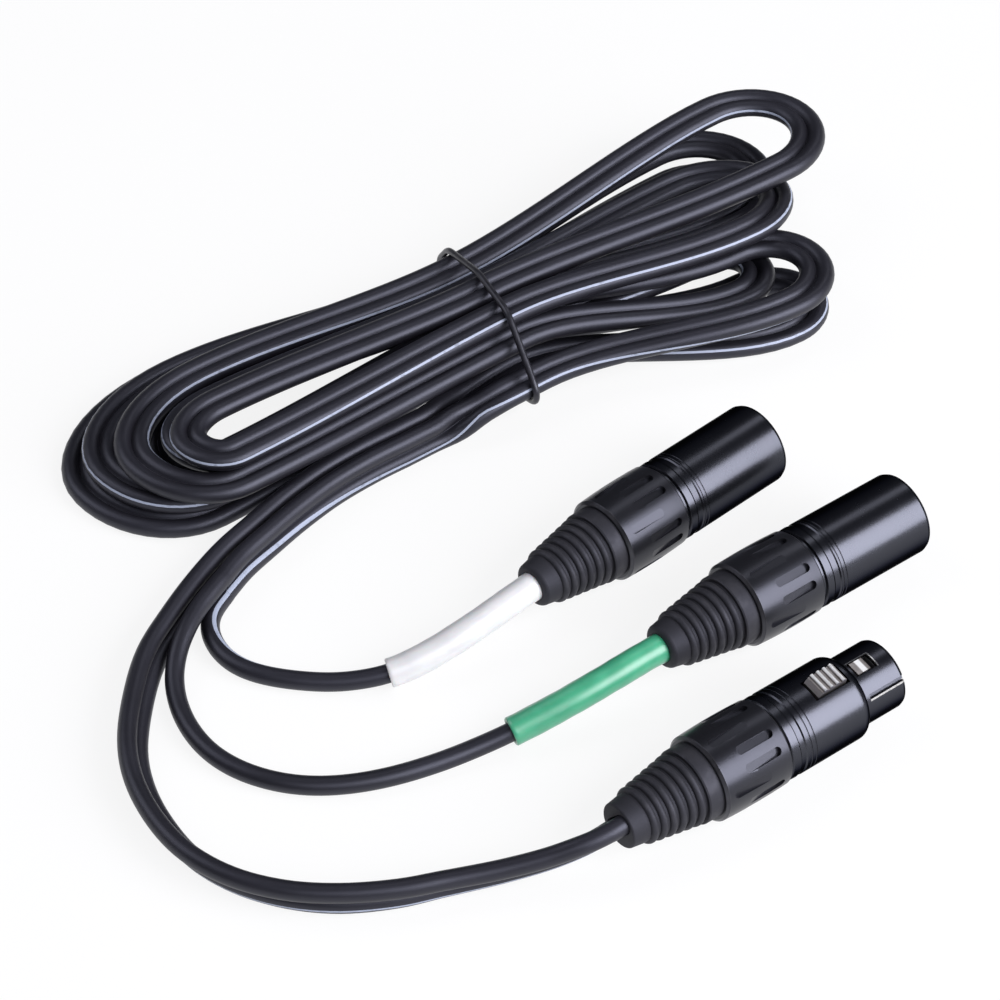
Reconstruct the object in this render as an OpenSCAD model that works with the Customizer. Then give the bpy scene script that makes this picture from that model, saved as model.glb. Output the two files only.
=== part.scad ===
// Twin-core audio cable, folded into a tied hank: one five-way socket end, two three-way plug ends.
// Millimetres. The connectors lie along +X on the floor plane z = 0, with the hank behind them.

/* [Plug shell] */
// outside diameter of both kinds of connector shell
shell_d = 19.2; // [17:0.1:22]
// bore of a plug's open cup
cup_d = 16.1; // [15.9:0.1:16.6]
// depth of the cup, from the insulator to the rim
cup_depth = 15; // [12:0.5:18]
// length of a plug, from the cable end of its boot to its rim
plug_len = 69; // [64:0.5:75]

/* [Boot and nut] */
// length of boot that shows behind the nut
boot_len = 20.8; // [16:0.2:26]
// boot diameter at its cable end
boot_tip_d = 10.2; // [9.6:0.2:12]
// boot diameter under the nut
boot_root_d = 17; // [16:0.2:19]
// flex ribs round the boot
boot_ribs = 6; // [4:1:8]
// length of the clamping nut
nut_len = 17.5; // [14:0.5:20]
// largest diameter of the nut
nut_d = 20; // [19:0.2:23]
// grip flutes round the nut, in threes: two cut from the front, one from the back
nut_flutes = 15; // [9:3:18]
// width of a flute
flute_w = 2; // [1.2:0.1:2.4]
// length of a flute, from its round end to where its floor meets the surface
flute_len = 8.6; // [6:0.2:10]
// depth of a flute at its round end
flute_deep = 0.95; // [0.6:0.05:1.1]

/* [Contacts] */
// plug contact diameter
pin_d = 2.36; // [2.2:0.02:2.5]
// free length of a plug contact
pin_len = 11.5; // [9:0.5:13]
// diameter of the circle that the contacts stand on
pin_circle_d = 7.8; // [7:0.1:8.4]
// bore of a socket contact
socket_bore_d = 1.84; // [1.8:0.02:2]
// socket contacts, sixty degrees apart
sockets = 5; // [3:1:5]

/* [Socket nose] */
// outside diameter of the nose
nose_d = 15.8; // [15.4:0.1:16]
// length of the nose in front of the shoulder
nose_len = 10.5; // [9:0.5:12]
// length of the socket, from the cable end of its boot to its nose
socket_len = 71; // [66:0.5:76]

/* [Latch] */
// width of the push button
button_w = 4.8; // [4:0.2:6]
// length of the push button
button_len = 7.4; // [5:0.2:9]
// how far the button stands proud of the shell
button_rise = 1.3; // [0.4:0.1:1.4]
// distance from the pivot to the front of the catch
latch_reach = 20.6; // [18:0.2:22]
// running clearance round the pivot
pivot_gap = 0.05; // [0.02:0.01:0.1]

/* [Cable] */
// diameter of one core: two lie side by side in the twin
core_d = 4.2; // [3.6:0.1:5]
// outside diameter of a marker sleeve
sleeve_d = 6.5; // [6:0.1:7.5]
// length of a marker sleeve
sleeve_len = 39; // [30:1:45]

/* [Hank] */
// height from one layer of the hank to the next
layer_pitch = 4.75; // [4.7:0.05:6]
// where the tie draws the loops in
waist_x = 28; // [20:1:36]
// the hank's two cable ends, where the leads begin
hank_end_x = -10; // [-14:1:-6]

/* [Tie] */
// thickness of the elastic tie
tie_d = 1.6; // [1.2:0.1:2]
// how much further along the hank the tie lies on the far side than on the near side
tie_slant = 11; // [0:1:14]

/* [Hidden] */
core_r = core_d / 2;
// the connectors lie on their widest part
axis_z = max(nut_d, shell_d) / 2;
// height of the axes that the leads' points were drawn for
drawn_axis_z = 10;
nut_s = boot_len;
shell_s = boot_len + nut_len;
cup_s = plug_len - cup_depth;
shoulder_s = socket_len - nose_len;
fit = 0.05;
latch_gap = 0.3;
collet_r = 6.6;
spigot_r = 7.8;
spigot_len = 8;

// plan position and turn of each connector, and the angle of its nut's first flute
plug_1_at = [-17.8, -34.4];
plug_1_turn = 4.8;
plug_1_phase = 46;
plug_2_phase = 14;
socket_phase = -3;
plug_2_at = [-7.7, -65.6];
socket_at = [-46.3, -99.5];
socket_roll = 8;
// roll of the twin where it enters the socket's boot
twin_roll = -52;
// centre of the whole layout, which becomes the origin
mid = [6.3, -13.4];

// how far the tie holds the waist off the floor, and its clearance round the bundle
waist_lift = tie_d + 0.4;
tie_gap = 0.37;

// latch lever, in the socket's own frame: s along the axis, z up
pivot_s = shoulder_s - 15.5;
pivot_z = 5.9;
pivot_r = 0.9;
arm_top = 6.4;
arm_t = 0.8;
arm_w = 3.2;
catch_front = pivot_s + latch_reach;
catch_len = 4;
// room in the window behind the catch, and in front of it
window_back = 0.6;
window_front = 1;
button_s = shoulder_s - 3.4 - button_len;

// hank: one row per pass through the waist, [y, layer]
waist = [
    [30.5, 0], [39.5, 0], [57.5, 0], [48.5, 0], [52, 1], [62, 1], [35, 1],
    [30, 2], [58.3, 2], [43.5, 3], [34, 3], [49.4, 2], [40.2, 2], [20.8, 0.85]
];
// far end bends: [reach, y going in, y coming out, layer in, layer out]
bends_far = [
    [101, 3, 22, 0, 0], [114, 64, 42, 0, 0], [119, 40, 70, 1, 1.25], [94, 31.5, 16, 1, 1],
    [128, 61.6, 34, 4, 4], [110, 24, 53.4, 3.2, 2.1], [102.5, 25.4, 2.2, 2, 2]
];
// near end bends, in the same form
bends_near = [
    [-73, 33.6, 78.6, 0, 0], [-55, 46, 62, 0, 1], [-68.5, 74.2, 35, 1, 1],
    [-64, 30, 66, 2, 2], [-54, 50, 34, 3, 3], [-53, 56, 39, 2, 2]
];
// fullness of a bend along the hank: far end, near end on its back side, near end on its front side
round_far = 1.15;
round_back = 1.5;
round_front = 0.85;

// free leads: [x, y, height above its lowest rest, roll of the twin; below zero the outer core is up]
lead_a = [
    [-10, 27.4, 0, -80], [-19, 27.5, 0, -80], [-30, 26.8, 0, -82], [-41, 24.9, 0, -84],
    [-52, 21.9, 0, -84], [-62, 18.9, 0, -82], [-72, 14.5, 0, -78], [-82, 9, 0, -70],
    [-92, 2.6, 0, -64], [-101, -6.2, 0, -62], [-109, -16.4, 0, -60], [-113.8, -26.6, 0, -58],
    [-116.2, -38, 0, -58], [-116.2, -49, 0, -62], [-113, -59.6, 0, -66], [-107, -69, 0, -72],
    [-99, -76.6, 0, -78], [-89, -82.6, 0, -74], [-79, -86.6, 0, -67], [-69.5, -91, 0.8, -61],
    [-61, -95.2, 2.6, -57], [-54, -98.4, 5, -54], [-49, -99.5, 6.1, -52]
];
tail = [
    [-10, 22.7, 0, -80], [-19, 22.8, 0, -80], [-30, 22, 0, -80], [-41, 19.9, 0, -80],
    [-51, 17.2, 0, -80], [-60, 14.5, 0, -80], [-68, 10.8, 0, -80]
];
lead_1 = [
    [-74, 6.6, 0, 0], [-77, 2, 0, 0], [-78.2, -4.6, 0, 0], [-76.6, -11.4, 0, 0], [-72, -18, 0, 0],
    [-65.4, -24.4, 0, 0], [-59.4, -28.6, 0.4, 0], [-53.4, -31.8, 1.4, 0], [-46, -34, 3.4, 0],
    [-37, -35.4, 6, 0], [-28, -35.4, 7.5, 0], [-22, -34.8, 7.9, 0]
];
lead_2 = [
    [-76, 7.6, 4, 0], [-81.3, 4.2, 3.8, 0], [-86, 0.8, 2.6, 0], [-90.2, -3.6, 0.9, 0], [-93.4, -9.4, 0, 0],
    [-95.8, -17, 0, 0], [-96.4, -26, 0, 0], [-94, -35, 0, 0], [-88.6, -43.4, 0, 0], [-81, -49.8, 0, 0],
    [-71, -54.6, 0, 0], [-60, -57.6, 0, 0], [-51, -59.4, 0.5, 0], [-44, -61, 1.6, 0], [-36, -63, 3.8, 0],
    [-28, -64.8, 6.2, 0], [-19, -65.6, 7.6, 0], [-13, -65.6, 7.9, 0]
];

// ---- small helpers ----

function mix(a, b, t) = a + (b - a) * t;
function ease(t) = t * t * (3 - 2 * t);
function unit(v) = v / norm(v);
function flip(list) = [for (i = [len(list) - 1 : -1 : 0]) list[i]];

// a turned solid from [s, r] points, with its axis along +X
module turned(points) {
    rotate([0, 90, 0])
        rotate_extrude($fn = 96)
            polygon([for (p = points) [p[1], p[0]]]);
}

// a turned solid from the 2D children, drawn with r along x and s along y
module lathe() {
    rotate([0, 90, 0])
        rotate_extrude($fn = 96)
            children();
}

// a rod along +X
module rod(r, s0, s1, n = 48) {
    translate([s0, 0, 0])
        rotate([0, 90, 0])
            cylinder(r = r, h = s1 - s0, $fn = n);
}

module row() {
    translate([-mid[0], -mid[1], 0])
        children();
}

module at_plug_1() {
    row()
        translate([plug_1_at[0], plug_1_at[1], axis_z])
            rotate([0, 0, plug_1_turn])
                children();
}

module at_plug_2() {
    row()
        translate([plug_2_at[0], plug_2_at[1], axis_z])
            children();
}

module at_socket() {
    row()
        translate([socket_at[0], socket_at[1], axis_z])
            rotate([socket_roll, 0, 0])
                children();
}

// ---- cord sweeps ----

// one core's section, and the twin's, counter-clockwise as seen looking back along the cord
round_section = [for (i = [0 : 7]) core_r * [cos(45 * i + 22.5), sin(45 * i + 22.5)]];
twin_section = concat(
    [for (a = [-104, -52, 0, 52, 104]) [core_r + core_r * cos(a), core_r * sin(a)]],
    [[0, 0.55 * core_r]],
    [for (a = [76, 128, 180, 232, 284]) [-core_r + core_r * cos(a), core_r * sin(a)]],
    [[0, -0.55 * core_r]]
);

// side and up vectors of a ring, rolled about the cord
function side_of(t, roll) =
    let (s = unit([-t[1], t[0], 0]), u = cross(t, s))
    s * cos(roll) + u * sin(roll);
function tangent(p, i) = unit(p[min(i + 1, len(p) - 1)] - p[max(i - 1, 0)]);

// points and triangles of a tube through centres p, with a roll for each
module sweep(p, rolls, section) {
    n = len(section);
    m = len(p);
    points = [
        for (i = [0 : m - 1])
            let (t = tangent(p, i), s = side_of(t, rolls[i]), u = cross(t, s))
            for (q = section) p[i] + s * q[0] + u * q[1]
    ];
    walls = [
        for (i = [0 : m - 2], j = [0 : n - 1])
            let (a = i * n + j, b = i * n + (j + 1) % n)
            each [[a, a + n, b], [b, a + n, b + n]]
    ];
    // the ends are fanned from the last point, which is a groove in the twin
    e = (m - 1) * n;
    caps = [for (j = [0 : n - 3]) each [[n - 1, j, j + 1], [e + n - 1, e + j + 1, e + j]]];
    polyhedron(points, concat(walls, caps));
}

// a smooth curve through the route's rows, in steps of a row
function curve_at(r, i, t) =
    let (a = r[max(i - 1, 0)], b = r[i], c = r[i + 1], d = r[min(i + 2, len(r) - 1)])
    0.5 * (2 * b + (c - a) * t + (2 * a - 5 * b + 4 * c - d) * t * t + (3 * b - a - 3 * c + d) * t * t * t);
function curve(r, steps) = concat(
    [for (i = [0 : len(r) - 2], k = [0 : steps - 1]) curve_at(r, i, k / steps)],
    [r[len(r) - 1]]
);
// the second ring is put straight behind the first, so that the end face is square to the hank's
function square_start(p) = [for (i = [0 : len(p) - 1]) i == 1 ? p[0] - [2, 0, 0] : p[i]];
// a lead's height over its rest, which follows the connectors' height
function raised(height, rest) = height * (axis_z - rest) / (drawn_axis_z - rest);
// a twin's centre stands a core's radius off the floor, and more when it is rolled
function twin_rest(roll) = core_r * (1 + abs(sin(roll)));
function twin_path(r) = [
    for (q = r) let (rest = twin_rest(q[3])) [q[0], q[1], raised(max(0, q[2]), rest) + rest]
];
function rolls_of(r) = [for (q = r) q[3]];

// ---- the hank's route ----

// the tie holds the loops off the floor at the waist, and they come down to it on both sides
function lift(x) = waist_lift * ease(max(0, 1 - abs(x - waist_x) / 72));
function at_layer(x, y, layer) = [x, y, core_r + layer * layer_pitch + lift(x)];
function pass(i) = at_layer(waist_x, waist[i][0], waist[i][1]);

// out from pass a, round bend b and back to pass c; way is 1 at the far end and -1 at the near end
function fullness(way, y, yc) = way > 0 ? round_far : y > yc ? round_back : round_front;
function half_loop(a, b, c, way) =
    let (
        yc = (b[1] + b[2]) / 2,
        w = (b[1] - b[2]) / 2,
        a_in = abs(w) * fullness(way, b[1], yc),
        a_out = abs(w) * fullness(way, b[2], yc),
        x_in = b[0] - way * a_in,
        x_out = b[0] - way * a_out
    )
    concat(
        [for (k = [0 : 2]) let (t = k / 3, e = ease(t))
            at_layer(mix(waist_x, x_in, t), mix(a[0], b[1], e), mix(a[1], b[3], e))],
        [for (k = [0 : 6]) let (t = 30 * k, full = k < 3 ? a_in : a_out)
            at_layer(b[0] - way * full * (1 - sin(t)), yc + w * cos(t), mix(b[3], b[4], ease(k / 6)))],
        [for (k = [2 : -1 : 1]) let (t = k / 3, e = ease(t))
            at_layer(mix(waist_x, x_out, t), mix(c[0], b[2], e), mix(c[1], b[4], e))]
    );

passes = len(waist);
hank_in = [hank_end_x, lead_a[0][1], twin_rest(lead_a[0][3])];
hank_out = [hank_end_x, tail[0][1], twin_rest(tail[0][3])];
straight = [2 * core_d, 0, 0];
held = at_layer(waist_x - 8, waist[passes - 1][0], waist[passes - 1][1]);
hank_path = concat(
    [hank_in, hank_in + straight, mix(hank_in + straight, pass(0), 0.5)],
    [for (i = [0 : passes - 2])
        each (i % 2 == 0
            ? half_loop(waist[i], bends_far[i / 2], waist[i + 1], 1)
            : half_loop(waist[i], bends_near[(i - 1) / 2], waist[i + 1], -1))],
    [pass(passes - 1), held, mix(hank_out + straight, held, 0.4), hank_out + straight, hank_out]
);
hank_rings = len(hank_path);
hank_rolls = [
    for (i = [0 : hank_rings - 1])
        i < 2 ? -lead_a[0][3] : i > hank_rings - 3 ? tail[0][3] : i == hank_rings - 3 ? tail[0][3] / 2 : 0
];

// least gap between the hank's cores and every other stretch of itself
function to_segment(p, a, b) =
    let (d = b - a, t = max(0, min(1, (p - a) * d / (d * d))))
    norm(p - a - d * t);
function cores(side) = [
    for (i = [0 : hank_rings - 1])
        hank_path[i] + side * core_r * side_of(tangent(hank_path, i), hank_rolls[i])
];
function least_gap() =
    let (both = [cores(1), cores(-1)])
    min([
        for (u = [0, 1], v = [0, 1], i = [0 : hank_rings - 1], j = [i + 4 : 1 : hank_rings - 2])
            let (p = both[u][i], a = both[v][j], b = both[v][j + 1])
            if (abs(p[1] - a[1]) < 16 && min(abs(p[0] - a[0]), abs(p[0] - b[0])) < 30)
                to_segment(p, a, b)
    ]) - core_d;

// ---- boot, nut and collet, alike on all three connectors ----

// lip is the rounding of the boot's cable end
module boot_body(lip) {
    skirt_r = 7.4;
    collar = 3.6;
    pitch = (boot_len - 2 * collar - 0.6) / boot_ribs;
    core_0 = boot_tip_d / 2 + 0.35;
    core_1 = boot_root_d / 2 - 0.95;
    lathe()
        union() {
            polygon(concat(
                [[0, 0]],
                [for (a = [0 : 15 : 90]) [boot_tip_d / 2 - lip * (1 - sin(a)), lip * (1 - cos(a))]],
                [
                    [boot_tip_d / 2 + 0.45, collar], [core_0, collar], [core_1, boot_len - collar],
                    [boot_root_d / 2 - 0.2, boot_len - collar], [boot_root_d / 2, boot_len - collar + 0.3],
                    [boot_root_d / 2, boot_len], [skirt_r, boot_len], [skirt_r, boot_len + 3], [0, boot_len + 3]
                ]
            ));
            for (i = [0 : boot_ribs - 1])
                translate([
                    mix(core_0, core_1, (i + 0.5) / boot_ribs) - 0.1,
                    collar + 0.3 + pitch * (i + 0.5)
                ])
                    circle(r = 0.86, $fn = 32);
        }
}

module nut_body(phase) {
    barrel_r = 160;
    difference() {
        lathe()
            difference() {
                intersection() {
                    polygon([
                        [0, nut_s], [nut_d / 2 - 0.9, nut_s], [nut_d / 2 - 0.32, nut_s + 0.5],
                        [nut_d / 2 + 1, nut_s + 2], [nut_d / 2 + 1, shell_s - 1.6],
                        [nut_d / 2 - 0.3, shell_s - 0.35], [nut_d / 2 - 0.6, shell_s - 0.05],
                        [0, shell_s - 0.05]
                    ]);
                    translate([nut_d / 2 - barrel_r, nut_s + nut_len * 0.55])
                        circle(r = barrel_r, $fn = 480);
                }
                polygon([
                    [-1, nut_s - 1], [7.5, nut_s - 1], [7.5, nut_s + 3.1], [collet_r - 0.2, nut_s + 3.2],
                    [collet_r + 0.5, nut_s + 8.2], [spigot_r + 0.1, nut_s + 8.6],
                    [spigot_r + 0.1, shell_s + 1], [-1, shell_s + 1]
                ]);
            }
        for (i = [0 : nut_flutes - 1])
            rotate([phase + i * 360 / nut_flutes, 0, 0])
                translate([i % 3 == 0 ? nut_s + 3 : shell_s - 3.4, 0, nut_d / 2 - flute_deep])
                    flute(i % 3 == 0 ? 1 : -1);
    }
}

// a pocket with its round end at the origin, whose flat floor rises to the surface along the given way
module flute(way) {
    rotate([0, -way * atan(flute_deep / flute_len), 0]) {
        cylinder(d = flute_w, h = 3, $fn = 32);
        translate([way > 0 ? 0 : -flute_len - 2, -flute_w / 2, 0])
            cube([flute_len + 2, flute_w, 3]);
    }
}

module collet_body() {
    difference() {
        turned([
            [nut_s + 3.4, 0], [nut_s + 3.4, collet_r - 0.5], [nut_s + 8.2, collet_r + 0.1],
            [nut_s + 9.2, collet_r + 0.1], [nut_s + 9.2, collet_r - 0.6],
            [shell_s + 2, collet_r - 0.6], [shell_s + 2, 0]
        ]);
        for (a = [0 : 60 : 120])
            rotate([a, 0, 0])
                translate([nut_s + 3, -0.4, -10])
                    cube([7.4, 0.8, 20]);
    }
}

module core_bore(s0, s1, d) {
    rod(d / 2, s0, s1);
}

// an oblong passage for the twin, rolled as the twin is
module twin_bore(s0, s1, gap) {
    rotate([twin_roll - socket_roll, 0, 0]) {
        for (side = [-1, 1])
            translate([0, side * core_r, 0])
                rod(core_r + gap, s0, s1);
        translate([s0, -core_r, -core_r - gap])
            cube([s1 - s0, core_d, core_d + 2 * gap]);
    }
}

// ---- plugs ----

module plug_shell() {
    seat_r = 7.6;
    rear_r = 6.3;
    outer = shell_d / 2;
    difference() {
        lathe()
            difference() {
                polygon([
                    [rear_r, shell_s - spigot_len], [spigot_r - 0.4, shell_s - spigot_len],
                    [spigot_r, shell_s - spigot_len + 0.4], [spigot_r, shell_s], [outer - 0.6, shell_s],
                    [outer - 0.6, shell_s + 0.7], [outer - 0.1, shell_s + 1], [outer, shell_s + 2.6],
                    [outer - 0.22, shell_s + 3], [outer - 0.22, shell_s + 4.4], [outer, shell_s + 4.7],
                    [outer, plug_len - 0.9], [outer - 0.25, plug_len - 0.25], [outer - 0.9, plug_len],
                    [cup_d / 2 + 0.3, plug_len], [cup_d / 2, plug_len - 0.4], [cup_d / 2, cup_s],
                    [seat_r, cup_s], [seat_r, cup_s - 8], [rear_r, cup_s - 8]
                ]);
                for (s = [shell_s + 5.2, shell_s + 6.2])
                    translate([outer, s])
                        circle(r = 0.16, $fn = 16);
            }
        // recess that the catch of the mating socket springs into
        translate([plug_len - 9, -2.2, cup_d / 2 - 0.6])
            cube([4, 4.4, 1.1]);
    }
    // key that sets which way round the connectors mate
    rotate([50, 0, 0])
        translate([cup_s + 1, -0.5, cup_d / 2 - 0.9])
            cube([cup_depth - 3, 1, 1.1]);
}

// where each contact of a plug stands, as [y, z]
plug_pins = [for (a = [-90, 0, 90]) pin_circle_d / 2 * [sin(a), -cos(a)]];

module plug_insulator() {
    difference() {
        union() {
            rod(7.55, cup_s - 8, cup_s, 96);
            rod(6.1, cup_s - 9.4, cup_s - 8, 96);
        }
        for (p = plug_pins)
            translate([0, p[0], p[1]])
                rod(pin_d / 2 + 0.31, cup_s - 10, cup_s + 1);
    }
}

module plug_contacts() {
    for (p = plug_pins)
        translate([0, p[0], p[1]])
            difference() {
                union() {
                    rod(pin_d / 2 + 0.27, cup_s - 13, cup_s);
                    rod(pin_d / 2, cup_s, cup_s + pin_len - pin_d / 2);
                    translate([cup_s + pin_len - pin_d / 2, 0, 0])
                        rotate([0, 90, 0])
                            sphere(d = pin_d, $fn = 48);
                }
                rod(0.8, cup_s - 14, cup_s - 10.5);
            }
}

// ---- socket ----

module socket_housing_body() {
    bore = 7.6;
    nose_bore = 6.95;
    difference() {
        // turned so that the round faces' seam is clear of the slot, the window and the keyway
        rotate([35, 0, 0]) lathe()
            difference() {
                union() {
                    polygon([
                        [0, shell_s - spigot_len], [spigot_r - 0.4, shell_s - spigot_len],
                        [spigot_r, shell_s - spigot_len + 0.4], [spigot_r, shell_s],
                        [shell_d / 2 - 0.5, shell_s], [shell_d / 2 - 0.1, shell_s + 0.4],
                        [shell_d / 2, shell_s + 2.2], [shell_d / 2 - 0.25, shell_s + 2.5],
                        [shell_d / 2 - 0.25, shell_s + 3.7], [shell_d / 2, shell_s + 4],
                        [shell_d / 2, shoulder_s - 2.4], [shell_d / 2 - 2.4, shoulder_s - 2.4],
                        [nose_d / 2 - 0.1, shoulder_s], [nose_d / 2, shoulder_s],
                        [nose_d / 2, socket_len - 0.8], [nose_d / 2 - 0.2, socket_len - 0.2],
                        [nose_d / 2 - 0.8, socket_len], [0, socket_len]
                    ]);
                    translate([shell_d / 2 - 2.4, shoulder_s - 2.4])
                        intersection() {
                            circle(r = 2.4, $fn = 64);
                            square(2.4);
                        }
                }
                polygon([
                    [-1, shell_s - spigot_len - 1], [6.3, shell_s - spigot_len - 1], [6.3, shell_s + 3.5],
                    [bore, shell_s + 3.5], [bore, shoulder_s - 2.2], [nose_bore, shoulder_s - 2.2],
                    [nose_bore, socket_len + 1], [-1, socket_len + 1]
                ]);
                for (s = [shell_s + 5.2, shell_s + 6.4])
                    translate([shell_d / 2, s])
                        circle(r = 0.16, $fn = 16);
            }
        // slot for the push button
        translate([button_s - 0.9, -button_w / 2 - latch_gap, 5])
            cube([button_len + 1.8, button_w + 2 * latch_gap, 8]);
        // window for the catch
        translate([catch_front - catch_len - window_back, -arm_w / 2 - latch_gap, 5])
            cube([window_back + catch_len + window_front, arm_w + 2 * latch_gap, 4]);
        // keyway along the nose
        rotate([50, 0, 0])
            translate([shoulder_s + 1, -0.6, nose_d / 2 - 0.8])
                cube([nose_len, 1.2, 3]);
    }
}

// where each contact of the socket stands, as [y, z]
socket_pins = [
    for (i = [0 : sockets - 1]) let (a = (i - (sockets - 1) / 2) * 60) pin_circle_d / 2 * [sin(a), -cos(a)]
];

module socket_insulator_body() {
    difference() {
        union() {
            rod(6.85, shoulder_s - 12.5, socket_len - 0.5, 96);
            rod(7.5, shell_s + 3.6, shoulder_s - 12.4, 96);
        }
        for (p = socket_pins)
            translate([0, p[0], p[1]])
                rod(1.3, shell_s, socket_len);
        // trough that the latch lever swings in
        translate([pivot_s - 2, -arm_w / 2 - 0.35, 3.5])
            cube([catch_front - pivot_s + 2.8, arm_w + 0.7, 6]);
        // room under the push button
        translate([button_s - 0.6, -button_w / 2 - 0.4, 4.6])
            cube([button_len + 1.2, button_w + 0.8, 6]);
        // bearings for the lever's trunnions
        translate([pivot_s, 0, pivot_z])
            rotate([90, 0, 0])
                cylinder(r = pivot_r + pivot_gap, h = 5.8, center = true, $fn = 48);
    }
}

module socket_contacts_body() {
    for (p = socket_pins)
        translate([0, p[0], p[1]])
            difference() {
                rod(1.27, shell_s + 2.5, socket_len - 0.8);
                rod(socket_bore_d / 2, socket_len - 13, socket_len);
                rod(0.9, shell_s, shell_s + 5);
            }
}

module socket_latch_body() {
    top = shell_d / 2 + button_rise;
    slope = 0.9;
    rib_r = 0.45;
    rib_pitch = (button_len - slope) / 4;
    difference() {
        union() {
            translate([pivot_s - 1.2, -arm_w / 2, arm_top - arm_t])
                cube([latch_reach + 1.2, arm_w, arm_t]);
            translate([pivot_s, 0, pivot_z])
                rotate([90, 0, 0])
                    cylinder(r = pivot_r, h = 5.6, center = true, $fn = 48);
            // push button: sloped behind, with four round grip ribs across it
            rotate([90, 0, 0])
                translate([0, 0, -button_w / 2])
                    linear_extrude(button_w)
                        union() {
                            polygon([
                                [button_s, arm_top - 0.4], [button_s + button_len, arm_top - 0.4],
                                [button_s + button_len, top - 0.65], [button_s + slope, top - 0.65],
                                [button_s, shell_d / 2 - 0.4]
                            ]);
                            for (i = [0 : 3])
                                translate([button_s + slope + rib_pitch * (i + 0.5), top - rib_r]) {
                                    circle(r = rib_r, $fn = 16);
                                    translate([-rib_r, -rib_r])
                                        square([2 * rib_r, rib_r]);
                                }
                        }
            // catch, flush with the nose
            translate([catch_front - catch_len, -arm_w / 2, arm_top - 0.4])
                cube([catch_len, arm_w, nose_d / 2 - 0.2 - arm_top + 0.4]);
        }
        // ramp that lets a plug ride over the catch
        translate([catch_front, -5, nose_d / 2 - 1.1])
            rotate([0, -38, 0])
                cube([4, 10, 3]);
    }
}

module socket_latch_spring_body() {
    s0 = pivot_s + 2;
    rise = arm_top - arm_t - 3.5 - 0.27;
    translate([s0, -1.1, 3.5])
        rotate([90, 0, 0])
            translate([0, 0, -2.2])
                linear_extrude(2.2)
                    polygon([
                        [0, 0], [8, 0], [8, 0.25], [1.2, 0.25], [9.4, rise - 0.3], [10.8, rise],
                        [12.4, rise], [12.4, rise + 0.25], [10.6, rise + 0.25], [9.2, rise], [0, 0.35]
                    ]);
}

// ---- marker sleeves ----

// a hollow tube round one core's path, from a to b along a finely cut route
module sleeve_on(p) {
    n = 12;
    m = len(p);
    function ring(i, r) =
        let (t = tangent(p, i), s = side_of(t, 0), u = cross(t, s))
        [for (j = [0 : n - 1]) p[i] + r * (s * cos(360 / n * j) + u * sin(360 / n * j))];
    outer = sleeve_d / 2;
    inner = core_r + 0.35;
    points = concat([for (i = [0 : m - 1]) each ring(i, outer)], [for (i = [0 : m - 1]) each ring(i, inner)]);
    k = m * n;
    faces = concat(
        [for (i = [0 : m - 2], j = [0 : n - 1])
            let (a = i * n + j, b = i * n + (j + 1) % n)
            each [[a, a + n, b], [b, a + n, b + n], [k + a, k + b, k + a + n], [k + b, k + b + n, k + a + n]]],
        [for (j = [0 : n - 1])
            let (a = j, b = (j + 1) % n, c = (m - 1) * n + j, d = (m - 1) * n + (j + 1) % n)
            each [[a, b, k + a], [b, k + b, k + a], [c, k + c, d], [d, k + c, k + d]]]
    );
    polyhedron(points, faces);
}

// ---- the single leads, from the split to their boots ----

// the cores part at the tail's end, where each single lead carries on from its own core
tail_curve = curve(tail, 2);
tail_path = square_start(twin_path(tail_curve));
tail_last = len(tail_path) - 1;
function split_start(side) =
    let (t = tangent(tail_path, tail_last), s = side_of(t, tail[len(tail) - 1][3]))
    [for (d = [0, 2.4]) tail_path[tail_last] + side * (core_r + 0.15) * s + d * t];
// straight through a boot, s from the boot's tip
function boot_line(at, turn, stops) = [
    for (s = stops) [at[0] + s * cos(turn), at[1] + s * sin(turn), axis_z]
];
function lead_path(side, rows, at, turn) =
    let (
        start = split_start(side),
        lifted = [for (q = rows) [q[0], q[1], raised(q[2], core_r) + core_r]],
        route = concat([start[1]], lifted, boot_line(at, turn, [0])),
        smooth = curve(route, 2)
    )
    concat(
        start,
        [for (i = [1 : len(smooth) - 1]) [smooth[i][0], smooth[i][1], max(smooth[i][2], core_r)]],
        boot_line(at, turn, [12, 24, 36])
    );
path_1 = lead_path(1, lead_1, plug_1_at, plug_1_turn);
path_2 = lead_path(-1, lead_2, plug_2_at, 0);

// the sleeve's own stretch: from just inside the boot, back along the lead for its length
function run_back(p, i, left) =
    i == 0 || left <= 0 ? [p[i]]
        : let (d = norm(p[i] - p[i - 1]))
            left < d ? [p[i], mix(p[i], p[i - 1], left / d)] : concat([p[i]], run_back(p, i - 1, left - d));
tuck = 1.5;
function sleeve_path(p, at, turn) =
    flip(concat(boot_line(at, turn, [tuck]), run_back(p, len(p) - 4, sleeve_len - tuck)));

socket_path = concat(
    square_start(twin_path(curve(lead_a, 2))),
    [for (s = [2.7, 12, 24, 36]) [socket_at[0] + s - 2.7, socket_at[1], axis_z]]
);
socket_rolls = concat(rolls_of(curve(lead_a, 2)), [twin_roll, twin_roll, twin_roll, twin_roll]);

// ---- the tie ----

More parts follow.
